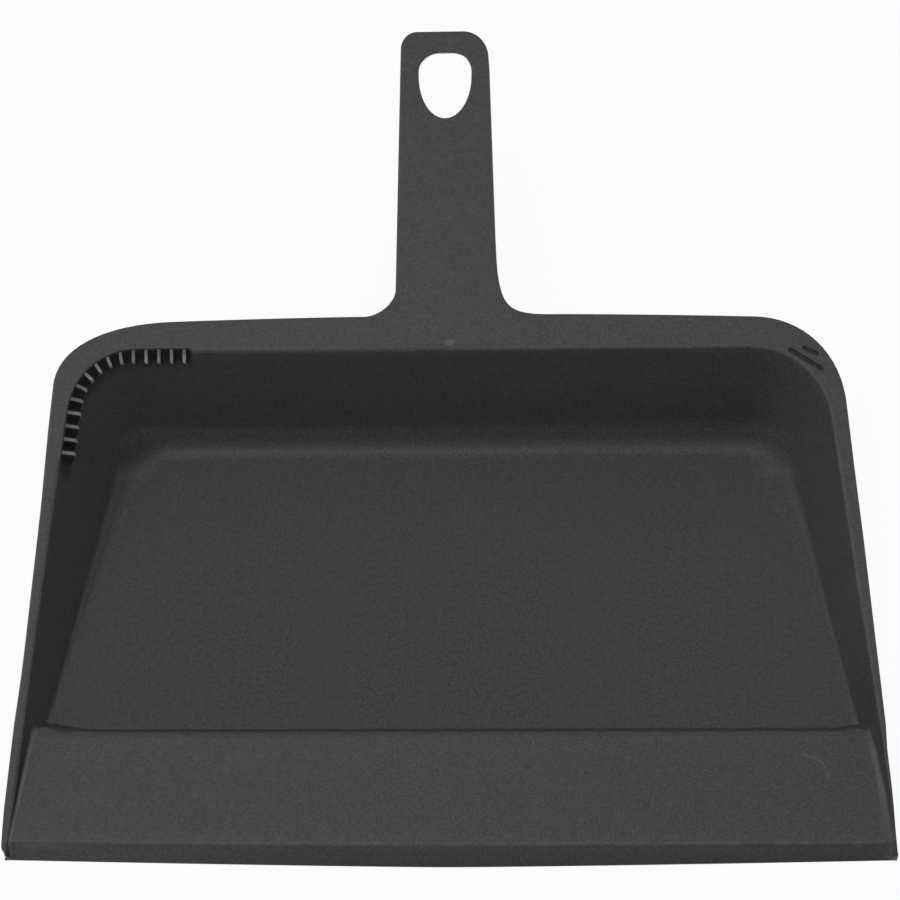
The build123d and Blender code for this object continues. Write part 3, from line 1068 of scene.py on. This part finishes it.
def combTree():
    tree, given = newTree("combRow", {
        "Count": "Int", "Fin": "Object", "Tilt": "Float", "Material": "Material"})
    fin = addNode(tree, "GeometryNodeObjectInfo", {"Object": given["Fin"]})
    spots = addNode(tree, "GeometryNodeCurveToPoints", {
        "Curve": given["Geometry"], "Count": given["Count"]}, mode="COUNT").outputs
    facing = addNode(tree, "FunctionNodeAlignRotationToVector", {
        "Vector": spots["Tangent"]}, axis="X", pivot_axis="Z")
    stood = addNode(tree, "GeometryNodeInstanceOnPoints", {
        "Points": spots["Points"], "Instance": fin.outputs["Geometry"], "Rotation": facing.outputs[0]})
    finishTree(tree, given, stood)
    return tree


# Cross ribs in the hollow of the handle
ribs = {"count": 3, "first": 203.0, "spacing": 16.0, "thickness": 2.0, "clearance": 1.5, "sink": 0.6}


def ribTree():
    tree, given = newTree("ribRow", {
        "Count": "Int", "Spacing": "Float", "Rib": "Object", "Width": "Float", "Narrowing": "Float",
        "Start": "Vector", "Tilt": "Float", "Material": "Material"})
    rib = addNode(tree, "GeometryNodeObjectInfo", {"Object": given["Rib"]})
    step = addNode(tree, "ShaderNodeCombineXYZ", {"Y": given["Spacing"]})
    spots = addNode(tree, "GeometryNodeMeshLine", {
        "Count": given["Count"], "Start Location": given["Start"], "Offset": step.outputs[0]})
    number = addNode(tree, "GeometryNodeInputIndex")
    wide = calculate(tree, "SUBTRACT", given["Width"], times(tree, number.outputs[0], given["Narrowing"]))
    size = addNode(tree, "ShaderNodeCombineXYZ", {"X": wide, "Y": 1.0, "Z": 1.0})
    stood = addNode(tree, "GeometryNodeInstanceOnPoints", {
        "Points": spots.outputs[0], "Instance": rib.outputs["Geometry"], "Scale": size.outputs[0]})
    finishTree(tree, given, stood)
    return tree


# shares of a plate's half thickness, and how far its edge is drawn in there
plateLayers = ((-1, 1.0), (-0.8, 0.3), (-0.5, 0.0), (0.5, 0.0), (0.8, 0.3), (1, 1.0))


# Plate with softened edges, given as its outline, with its thickness along one axis
def buildPlate(name, outlinePoints, thickness, edge, axis):
    bm = bmesh.new()
    half = thickness / 2
    count = len(outlinePoints)
    layers = []
    for side, inset in plateLayers:
        layer = []
        for i, p in enumerate(outlinePoints):
            before = (p - outlinePoints[i - 1]).normalized()
            after = (outlinePoints[(i + 1) % count] - p).normalized()
            q = p + (after - before) * edge * inset
            spot = (side * half, q.x, q.y) if axis == "X" else (q.x, side * half, q.y)
            layer.append(bm.verts.new(Vector(spot) * mm))
        layers.append(layer)
    joinLayers(bm, layers)
    return finishMesh(name, bm)


def hardenTree(name, source, tree, values):
    modifier = source.modifiers.new(tree.name, "NODES")
    modifier.node_group = tree
    for item in tree.interface.items_tree:
        if item.in_out == "INPUT" and item.name in values:
            modifier[item.identifier] = values[item.name]
    bpy.context.view_layer.update()
    ready = source.evaluated_get(bpy.context.evaluated_depsgraph_get())
    mesh = bpy.data.meshes.new_from_object(ready)
    mesh.name = name
    source.modifiers.remove(modifier)
    print(name, len(mesh.vertices), "vertices")
    return addObject(name, mesh)


def dropBlank(*blanks):
    for blank in blanks:
        bpy.data.objects.remove(blank)


def buildComb(material):
    path = combPath()
    blank = buildFin()
    curve = bpy.data.curves.new("combLine", "CURVE")
    curve.dimensions = "3D"
    spline = curve.splines.new("POLY")
    spline.points.add(len(path) - 1)
    level = rimZ(pan["length"] / 2) * mm
    for point, p in zip(spline.points, path):
        point.co = (p.x * mm, (p.y - pan["length"] / 2) * mm, level, 1)
    line = addObject("combLine", curve)
    made = hardenTree("broomComb", line, combTree(), {
        "Count": comb["count"], "Fin": blank, "Tilt": slope, "Material": material})
    dropBlank(line, blank)
    return made


def gripHalf(depth):
    share = (depth - rim["back"][1]) / (pan["length"] - rim["back"][1])
    return blend(grip["rootWidth"][1], grip["tipWidth"][1], share) / 2


def buildRibs(material):
    low = -(rim["drop"] - ribs["clearance"]) / slopeCos
    high = -(rim["flange"] - ribs["sink"]) / slopeCos
    # one millimetre wide, so that its scale is its width in millimetres
    blankOutline = [Vector((-0.5, low)), Vector((0.5, low)), Vector((0.5, high)), Vector((-0.5, high))]
    blank = buildPlate("ribBlank", blankOutline, ribs["thickness"], 0.0, "Y")
    first = 2 * (gripHalf(ribs["first"]) - rim["skirt"] + ribs["sink"])
    second = 2 * (gripHalf(ribs["first"] + ribs["spacing"]) - rim["skirt"] + ribs["sink"])
    host = addObject("ribHost", bpy.data.meshes.new("ribHost"))
    start = (0, (ribs["first"] - pan["length"] / 2) * mm, rimZ(pan["length"] / 2) * mm)
    made = hardenTree("handleRibs", host, ribTree(), {
        "Count": ribs["count"], "Spacing": ribs["spacing"] * mm, "Rib": blank, "Width": first,
        "Narrowing": first - second, "Start": start, "Tilt": slope, "Material": material})
    dropBlank(host, blank)
    return made


# Pair of webs between the back wall and the root of the handle
webs = {"halfGap": 11.0, "footHeight": 25.0, "reach": 198.0, "thickness": 2.0, "edge": 0.3, "sink": 0.8}


def buildWebs(material):
    footDepth = wallSpot(1, "back", 1.0, webs["footHeight"], pan["wall"] - webs["sink"]).y
    seat = wallOnRim(1, "back", 1.0, pan["wall"] - webs["sink"], rim["flange"] - webs["sink"])
    corners = [Vector((footDepth, webs["footHeight"]))]
    corners.append(Vector((webs["reach"], rimZ(webs["reach"], rim["flange"] - webs["sink"]))))
    corners.append(Vector((seat.y, seat.z)))
    shifted = [Vector((p.x - pan["length"] / 2, p.y)) for p in corners]
    bm = bmesh.new()
    for x in (-webs["halfGap"], webs["halfGap"]):
        plate = buildPlate("webBlank", shifted, webs["thickness"], webs["edge"], "X")
        plate.data.transform(Matrix.Translation((x * mm, 0, 0)))
        bm.from_mesh(plate.data)
        dropBlank(plate)
    made = finishMesh("handleWebs", bm)
    made.data.materials.append(material)
    return made


def newGroup(name, inputs, outputs):
    tree = bpy.data.node_groups.new(name, "ShaderNodeTree")
    addSockets(tree, "INPUT", inputs)
    addSockets(tree, "OUTPUT", {label: "Float" for label in outputs})
    return tree, addNode(tree, "NodeGroupInput").outputs


def noise(tree, spot, scale, detail, roughness=0.5):
    return addNode(tree, "ShaderNodeTexNoise", {
        "Vector": spot, "Scale": scale, "Detail": detail, "Roughness": roughness}).outputs[0]


def mapRange(tree, value, low, high, toLow=0.0, toHigh=1.0):
    links = {0: value, 1: low, 2: high, 3: toLow, 4: toHigh}
    return addNode(tree, "ShaderNodeMapRange", links).outputs[0]


# scratches all over, each set with its turn and scale, and one scrape at the right of the ramp
scuffs = {
    "sets": (((0, 0, 0.3), 420.0), ((0, 0, 1.9), 380.0)),
    "stretch": (1, 0.06, 1),
    "least": 0.66,
    "most": 0.85,
}
scrape = {
    "x": 123.9,
    "depth": 28.4,
    "radius": 7.7,
    "width": 0.8,
    "strength": 0.22,
    "fade": {"X": (-1.5, 0.5), "Y": (-1.0, 1.0)},
    "patchScale": 520.0,
}


# Fine spark-eroded grain and a broader cloudiness of the moulding
def grainGroup():
    tree, given = newGroup("mouldGrain", {
        "Vector": "Vector", "Grain Scale": "Float", "Cloud Scale": "Float"}, ("Height", "Tone"))
    fine = noise(tree, given["Vector"], given["Grain Scale"], 2.0, 0.6)
    cloud = noise(tree, given["Vector"], given["Cloud Scale"], 3.0, 0.55)
    both = addNode(tree, "ShaderNodeMix", {0: 0.2, 2: fine, 3: cloud})
    addNode(tree, "NodeGroupOutput", {"Height": fine, "Tone": mapRange(tree, both.outputs[0], 0.3, 0.7)})
    return tree


# Handling wear and painted highlight on convex edges, broken up along their length
def wearAndHighlightGroup():
    tree, given = newGroup("rubbedAndHighlightEdges", {
        "Vector": "Vector", "RubbedAndHighlight": "Float", "Scale": "Float"}, ("Wear",))
    patch = noise(tree, given["Vector"], given["Scale"], 4.0)
    broken = mapRange(tree, patch, 0.35, 0.65, 0.35, 1.0)
    addNode(tree, "NodeGroupOutput", {"Wear": times(tree, given["RubbedAndHighlight"], broken)})
    return tree


# Short faint scratches, drawn out along one direction
def scuffGroup():
    tree, given = newGroup("fineScuffs", {
        "Vector": "Vector", "Scale": "Float", "Turn": "Vector", "Least": "Float"}, ("Scuff",))
    turned = addNode(tree, "ShaderNodeMapping", {
        "Vector": given["Vector"], "Rotation": given["Turn"], "Scale": scuffs["stretch"]})
    lines = noise(tree, turned.outputs[0], given["Scale"], 1.0)
    addNode(tree, "NodeGroupOutput", {"Scuff": mapRange(tree, lines, given["Least"], scuffs["most"])})
    return tree


# One curved scrape, a quarter of a circle seen from above
def scrapeGroup():
    tree, given = newGroup("curvedScrape", {
        "Vector": "Vector", "Centre": "Vector", "Radius": "Float", "Width": "Float"}, ("Scrape",))
    away = addNode(tree, "ShaderNodeVectorMath", {
        0: given["Vector"], 1: given["Centre"]}, operation="SUBTRACT")
    flat = addNode(tree, "ShaderNodeVectorMath", {0: away.outputs[0], 1: (1, 1, 0)}, operation="MULTIPLY")
    far = addNode(tree, "ShaderNodeVectorMath", {0: flat.outputs[0]}, operation="LENGTH")
    off = calculate(tree, "SUBTRACT", far.outputs["Value"], given["Radius"])
    mask = mapRange(tree, calculate(tree, "ABSOLUTE", off), 0.0, given["Width"], 1.0, 0.0)
    split = addNode(tree, "ShaderNodeSeparateXYZ", {0: flat.outputs[0]}).outputs
    for axis, (low, high) in scrape["fade"].items():
        mask = times(tree, mask, mapRange(tree, split[axis], low * mm, high * mm))
    patch = noise(tree, given["Vector"], scrape["patchScale"], 2.0)
    mask = times(tree, mask, mapRange(tree, patch, 0.4, 0.6, 0.15, 1.0))
    addNode(tree, "NodeGroupOutput", {"Scrape": mask})
    return tree


grainTree = grainGroup()
wearAndHighlightTree = wearAndHighlightGroup()
scuffTree = scuffGroup()
scrapeTree = scrapeGroup()

# Charcoal plastic, matte from the mould, with a near-black colour for painted shade; the comb's copy paints
# the fins' tops much paler as a highlight
mould = {
    "dark": 0.028,
    "light": 0.063,
    "dirt": 0.006,
    "grain": 1300.0,
    "cloud": 420.0,
    "grainDepth": 0.00012,
    "rough": (0.41, 0.49),
    "gloss": 0.15,
    "wearAndHighlightScale": 160.0,
    "evenTone": 0.5,
}
finish = {
    "charcoalPlastic": {
        **mould, "pale": 0.25, "wearAndHighlight": 0.06, "paintedShadeShare": 0.95, "scuff": 0.015, "polish": 0.35, "bump": 0.3},
    "combPlastic": {
        **mould, "pale": 0.23, "wearAndHighlight": 0.95, "paintedShadeShare": 1.0, "scuff": 0.0, "polish": 0.0, "bump": 0.2},
}


def grey(value):
    return (value, value, value, 1)


def mixColour(tree, share, a, b):
    return addNode(tree, "ShaderNodeMix", {0: share, 6: a, 7: b}, data_type="RGBA").outputs[2]


def useGroup(tree, group, links):
    return addNode(tree, "ShaderNodeGroup", links, node_tree=group).outputs


def readAttribute(tree, name):
    return addNode(tree, "ShaderNodeAttribute", attribute_name=name).outputs["Fac"]


def paintPlastic(name):
    look = finish[name]
    made = bpy.data.materials.new(name)
    made.use_nodes = True
    tree = made.node_tree
    shader = tree.nodes["Principled BSDF"]
    shader.inputs["Specular IOR Level"].default_value = look["gloss"]
    spot = addNode(tree, "ShaderNodeTexCoord").outputs["Object"]
    grain = useGroup(tree, grainTree, {
        "Vector": spot, "Grain Scale": look["grain"], "Cloud Scale": look["cloud"]})
    wearAndHighlight = useGroup(tree, wearAndHighlightTree, {
        "Vector": spot, "RubbedAndHighlight": readAttribute(tree, "rubbed"), "Scale": look["wearAndHighlightScale"]})["Wear"]
    pale = grey(look["pale"])
    tone = grain["Tone"]
    # the floor is worn a little smoother
    if look["polish"]:
        even = times(tree, readAttribute(tree, "polished"), look["polish"])
        tone = addNode(tree, "ShaderNodeMix", {0: even, 2: tone, 3: look["evenTone"]}).outputs[0]
    colour = mixColour(tree, tone, grey(look["dark"]), grey(look["light"]))
    # rubbed wear and painted highlight mix the colour towards pale
    colour = mixColour(tree, times(tree, wearAndHighlight, look["wearAndHighlight"]), colour, pale)
    if look["scuff"]:
        for turn, scale in scuffs["sets"]:
            scuff = useGroup(tree, scuffTree, {
                "Vector": spot, "Scale": scale, "Turn": turn, "Least": scuffs["least"]})["Scuff"]
            colour = mixColour(tree, times(tree, scuff, look["scuff"]), colour, pale)
        centre = place(Vector((scrape["x"], scrape["depth"], 0)))
        curved = useGroup(tree, scrapeTree, {
            "Vector": spot, "Centre": centre, "Radius": scrape["radius"] * mm,
            "Width": scrape["width"] * mm})["Scrape"]
        colour = mixColour(tree, times(tree, curved, scrape["strength"]), colour, pale)
    # painted shade mixes the colour towards near black
    paintedShadeShare = times(tree, readAttribute(tree, "dirt"), look["paintedShadeShare"])
    colour = mixColour(tree, paintedShadeShare, colour, grey(look["dirt"]))
    tree.links.new(colour, shader.inputs["Base Color"])
    rough = mapRange(tree, grain["Tone"], 0.0, 1.0, *look["rough"])
    tree.links.new(rough, shader.inputs["Roughness"])
    bump = addNode(tree, "ShaderNodeBump", {
        "Strength": look["bump"], "Distance": look["grainDepth"], "Height": grain["Height"]})
    tree.links.new(bump.outputs[0], shader.inputs["Normal"])
    return made


plastic = paintPlastic("charcoalPlastic")
combPlastic = paintPlastic("combPlastic")
print("materials made")

panBody.data.materials.append(plastic)
broomComb = buildComb(combPlastic)
handleRibs = buildRibs(plastic)
handleWebs = buildWebs(plastic)
print("comb, ribs and webs built")

bodyNodes = ["floor_panel", "front_lip", "entry_ramp", "ramp_riser"]
bodyNodes += ["back_wall", "back_rim", "handle", "hang_collar"]
for side in ("left", "right"):
    bodyNodes += [f"{side}_{part}" for part in ("cheek", "wall", "rear_corner", "rim", "corner_rim")]
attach(panBody, "root")
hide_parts(*bodyNodes)
for piece, node in ((broomComb, "broom_comb"), (handleRibs, "handle_ribs"), (handleWebs, "handle_gussets")):
    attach(piece, "root")
    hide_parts(node)

# Camera
view = {
    "place": (0.06543, -0.45192, 1.07069),
    "yaw": -8.102,
    "pitch": 66.037,
    "roll": 7.813,
    "lens": 128.0,
    "sensor": 36.0,
}


def setCamera():
    eye = addObject("eye", bpy.data.cameras.new("eye"))
    eye.data.lens = view["lens"]
    eye.data.sensor_width = view["sensor"]
    turn = Matrix.Rotation(radians(-view["yaw"]), 4, "Z")
    turn = turn @ Matrix.Rotation(radians(90 - view["pitch"]), 4, "X")
    turn = turn @ Matrix.Rotation(radians(-view["roll"]), 4, "Z")
    eye.matrix_world = Matrix.Translation(view["place"]) @ turn
    bpy.context.scene.camera = eye


# Light: a soft box overhead that casts the shadow and fill from three sides, by bearing and rise
light = {
    "boxes": {
        "overheadBox": {"bearing": 0, "rise": 80, "size": 2.0, "power": 16.9, "shadow": True},
        "frontLeftFill": {"bearing": -45, "rise": 55, "size": 1.5, "power": 20.4, "shadow": False},
        "leftFill": {"bearing": -90, "rise": 25, "size": 1.0, "power": 19.0, "shadow": False},
        "rightFill": {"bearing": 90, "rise": 25, "size": 1.0, "power": 15.4, "shadow": False},
    },
    "far": 2.5,
    "aim": (0, -0.02, 0.03),
    "room": 0.12,
    "floorSize": 6.0,
    "floorWhite": 0.9,
    "floorGlow": 0.9,
    "floorGap": 0.0003,
}


def setLight():
    for name, box in light["boxes"].items():
        lamp = bpy.data.lights.new(name, "AREA")
        lamp.shape = "SQUARE"
        lamp.size = box["size"]
        lamp.energy = box["power"]
        lamp.use_shadow = box["shadow"]
        bearing = radians(box["bearing"])
        rise = radians(box["rise"])
        towards = Vector((sin(bearing) * cos(rise), -cos(bearing) * cos(rise), sin(rise)))
        made = addObject(name, lamp)
        made.location = Vector(light["aim"]) + towards * light["far"]
        made.rotation_mode = "QUATERNION"
        made.rotation_quaternion = (-towards).to_track_quat("-Z", "Y")
    world = bpy.data.worlds.new("room")
    world.use_nodes = True
    bpy.context.scene.world = world
    tree = world.node_tree
    tree.nodes.clear()
    path = addNode(tree, "ShaderNodeLightPath").outputs
    seen = calculate(tree, "MAXIMUM", path["Is Camera Ray"], path["Is Transmission Ray"])
    seen = calculate(tree, "MAXIMUM", seen, path["Is Glossy Ray"])
    dim = addNode(tree, "ShaderNodeBackground", {"Color": grey(1), "Strength": light["room"]})
    white = addNode(tree, "ShaderNodeBackground", {"Color": grey(1), "Strength": 1.0})
    both = addNode(tree, "ShaderNodeMixShader", {0: seen, 1: dim.outputs[0], 2: white.outputs[0]})
    addNode(tree, "ShaderNodeOutputWorld", {"Surface": both.outputs[0]})


def setFloor():
    bm = bmesh.new()
    bmesh.ops.create_grid(bm, x_segments=1, y_segments=1, size=light["floorSize"] / 2)
    mesh = bpy.data.meshes.new("floorSheet")
    bm.to_mesh(mesh)
    bm.free()
    mesh.transform(Matrix.Translation((0, 0, -light["floorGap"])))
    sheet = addObject("floorSheet", mesh)
    paper = bpy.data.materials.new("whitePaper")
    paper.use_nodes = True
    tree = paper.node_tree
    tree.nodes.clear()
    path = addNode(tree, "ShaderNodeLightPath").outputs
    matte = addNode(tree, "ShaderNodeBsdfDiffuse", {"Color": grey(light["floorWhite"])})
    glow = addNode(tree, "ShaderNodeEmission", {"Color": grey(1), "Strength": 1.0})
    share = times(tree, path["Is Camera Ray"], light["floorGlow"])
    both = addNode(tree, "ShaderNodeMixShader", {0: share, 1: matte.outputs[0], 2: glow.outputs[0]})
    # clear from below, so that the underside can be looked at
    below = addNode(tree, "ShaderNodeNewGeometry").outputs["Backfacing"]
    clear = addNode(tree, "ShaderNodeBsdfTransparent")
    both = addNode(tree, "ShaderNodeMixShader", {0: below, 1: both.outputs[0], 2: clear.outputs[0]})
    addNode(tree, "ShaderNodeOutputMaterial", {"Surface": both.outputs[0]})
    mesh.materials.append(paper)


setCamera()
setLight()
setFloor()
bpy.context.scene.view_settings.view_transform = "Standard"
print("camera, light and floor set")
